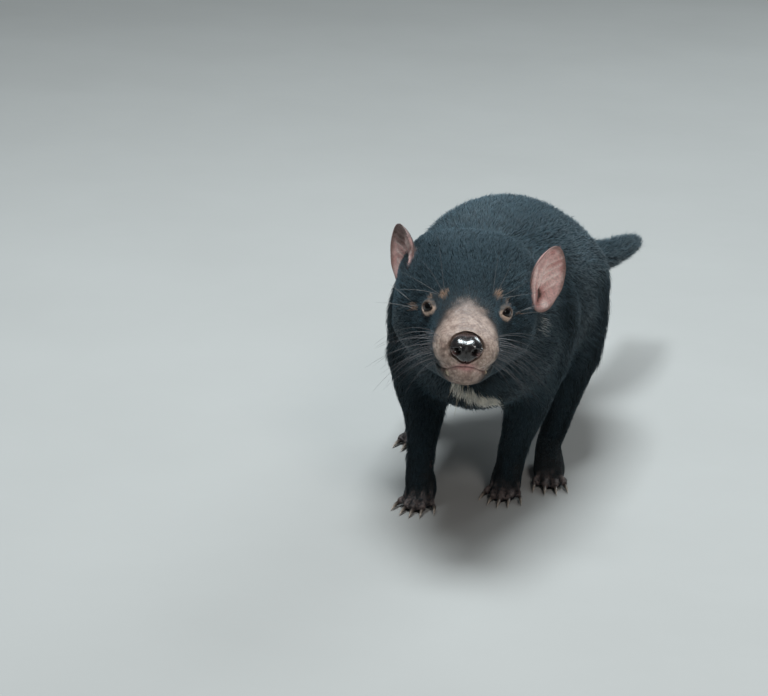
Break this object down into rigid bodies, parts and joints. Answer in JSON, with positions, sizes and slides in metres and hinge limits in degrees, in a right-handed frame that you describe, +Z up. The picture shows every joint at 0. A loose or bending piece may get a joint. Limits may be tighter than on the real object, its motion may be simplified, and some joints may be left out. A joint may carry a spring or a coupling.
{
  "type": "tasmanian devil",
  "caption": "Still, life-size Tasmanian devil in mid-step on the floor, black coat, pale chest band, head raised to the front.",
  "frame": {"origin": "centre of the bounding box in plan, on the floor", "axes": "-Y is the way the trunk faces, +X the animal's left, +Z up"},
  "size_m": [0.19, 0.6832, 0.2624],
  "materials": {
    "coat": "short black coat",
    "paw": "thin short coat over grey-pink skin",
    "bare_skin": "bare mottled skin",
    "ear_skin": "thin pink skin",
    "nose_pad": "wet and glossy",
    "eye": "glossy, very dark",
    "claw": "pale horn"
  },
  "bodies": {
    "root": {"belly": "coat", "chest": "coat", "claw_fore_left_1": "claw", "claw_fore_left_2": "claw", "claw_fore_left_3": "claw", "claw_fore_left_4": "claw", "claw_fore_left_5": "claw", "claw_fore_right_1": "claw", "claw_fore_right_2": "claw", "claw_fore_right_3": "claw", "claw_fore_right_4": "claw", "claw_fore_right_5": "claw", "claw_hind_left_1": "claw", "claw_hind_left_2": "claw", "claw_hind_left_3": "claw", "claw_hind_left_4": "claw", "claw_hind_right_1": "claw", "claw_hind_right_2": "claw", "claw_hind_right_3": "claw", "claw_hind_right_4": "claw", "ear_left": "ear_skin", "ear_right": "ear_skin", "eye_left": "eye", "eye_right": "eye", "forefoot_left": "paw", "forefoot_right": "paw", "foreleg_lower_left": "coat", "foreleg_lower_right": "coat", "foreleg_upper_left": "coat", "foreleg_upper_right": "coat", "head": "coat", "hindfoot_left": "paw", "hindfoot_right": "paw", "hindleg_lower_left": "coat", "hindleg_lower_right": "coat", "hindleg_upper_left": "coat", "hindleg_upper_right": "coat", "lower_jaw": "bare_skin", "neck": "coat", "nose": "nose_pad", "rump": "coat", "tail_base": "coat", "tail_tip": "coat"}
  },
  "joints": []
}
